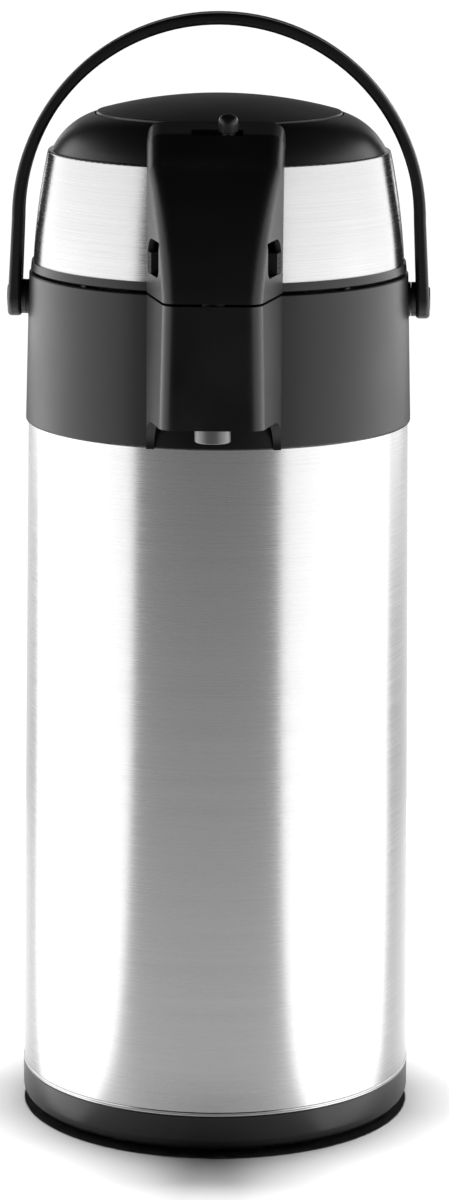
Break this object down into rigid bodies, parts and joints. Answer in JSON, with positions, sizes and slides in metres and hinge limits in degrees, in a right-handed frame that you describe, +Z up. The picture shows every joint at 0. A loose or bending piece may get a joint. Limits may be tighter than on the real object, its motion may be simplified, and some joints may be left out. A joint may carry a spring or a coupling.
{
  "type": "thermal coffee airpot",
  "caption": "Tall insulated steel coffee airpot with a press-down pump lid, front spout, bail handle, rear lid hinge and swivel foot.",
  "frame": {"origin": "centre of the rubber foot's underside, on the table", "axes": "+Z up along the flask's axis, spout facing -Y, handle pivots along X"},
  "size_m": [0.1956, 0.2225, 0.5163],
  "materials": {
    "casing_steel": "fine brushed, satin",
    "liner_steel": "smooth satin",
    "screw_steel": "bright",
    "black_plastic": "fine satin texture",
    "plate_plastic": "fine matte grain",
    "inner_plastic": "satin",
    "nozzle_plastic": "satin",
    "mat_rubber": "matte",
    "seal_rubber": "matte silicone"
  },
  "bodies": {
    "pot": {"base_cup": "black_plastic", "outer_casing": "casing_steel", "inner_liner": "liner_steel", "vacuum_base": "liner_steel", "collar": "black_plastic", "inner_deck": "black_plastic", "deck_screws": "screw_steel", "hinge_pin": "screw_steel", "neck_gasket": "seal_rubber", "tube_holder": "inner_plastic", "riser_tube": "inner_plastic", "pour_pipe": "inner_plastic", "nozzle": "nozzle_plastic", "nozzle_ring": "seal_rubber", "spout_plate": "black_plastic"},
    "foot": {"turntable": "black_plastic", "foot_mat": "mat_rubber", "swivel_washer": "screw_steel", "swivel_screw": "screw_steel"},
    "carry_handle": {"handle": "black_plastic", "handle_pivots": "black_plastic"},
    "lid": {"lid_rim": "black_plastic", "lid_band": "casing_steel", "lid_top": "black_plastic", "bellows_housing": "inner_plastic", "lid_screws": "screw_steel", "lid_gasket": "seal_rubber", "bellows_base": "inner_plastic", "valve_flap": "seal_rubber", "bellows": "mat_rubber", "pump_spring": "screw_steel"},
    "plate": {"push_plate": "plate_plastic", "bellows_ring": "inner_plastic"},
    "lock": {"lock_slider": "black_plastic"},
    "left_latch": {"latch_left": "black_plastic"},
    "right_latch": {"latch_right": "black_plastic"}
  },
  "joints": [
    {"name": "foot_swivel", "type": "hinge", "parent": "pot", "child": "foot", "pos_m": [0, 0, 0], "axis": [0, 0, 1], "continuous": true},
    {"name": "handle_swing", "type": "hinge", "parent": "pot", "child": "carry_handle", "pos_m": [0, 0, 0.384], "axis": [1, 0, 0], "range_deg": [-120, 90]},
    {"name": "lid_open", "type": "hinge", "parent": "pot", "child": "lid", "pos_m": [0, 0.0945, 0.3972], "axis": [-1, 0, 0], "range_deg": [0, 5]},
    {"name": "plate_push", "type": "slide", "parent": "lid", "child": "plate", "axis": [0, 0, 1], "range_m": [-0.028, 0], "stiffness_N_per_m": 350, "springref_m": 0.02, "deforming": ["bellows", "pump_spring"]},
    {"name": "lock_slide", "type": "slide", "parent": "lid", "child": "lock", "axis": [-1, 0, 0], "range_m": [0, 0.013]},
    {"name": "latch_left_press", "type": "slide", "parent": "lid", "child": "left_latch", "axis": [1, 0, 0], "range_m": [0, 0.003], "stiffness_N_per_m": 400, "springref_m": -0.004},
    {"name": "latch_right_press", "type": "slide", "parent": "lid", "child": "right_latch", "axis": [-1, 0, 0], "range_m": [0, 0.003], "stiffness_N_per_m": 400, "springref_m": -0.004}
  ]
}
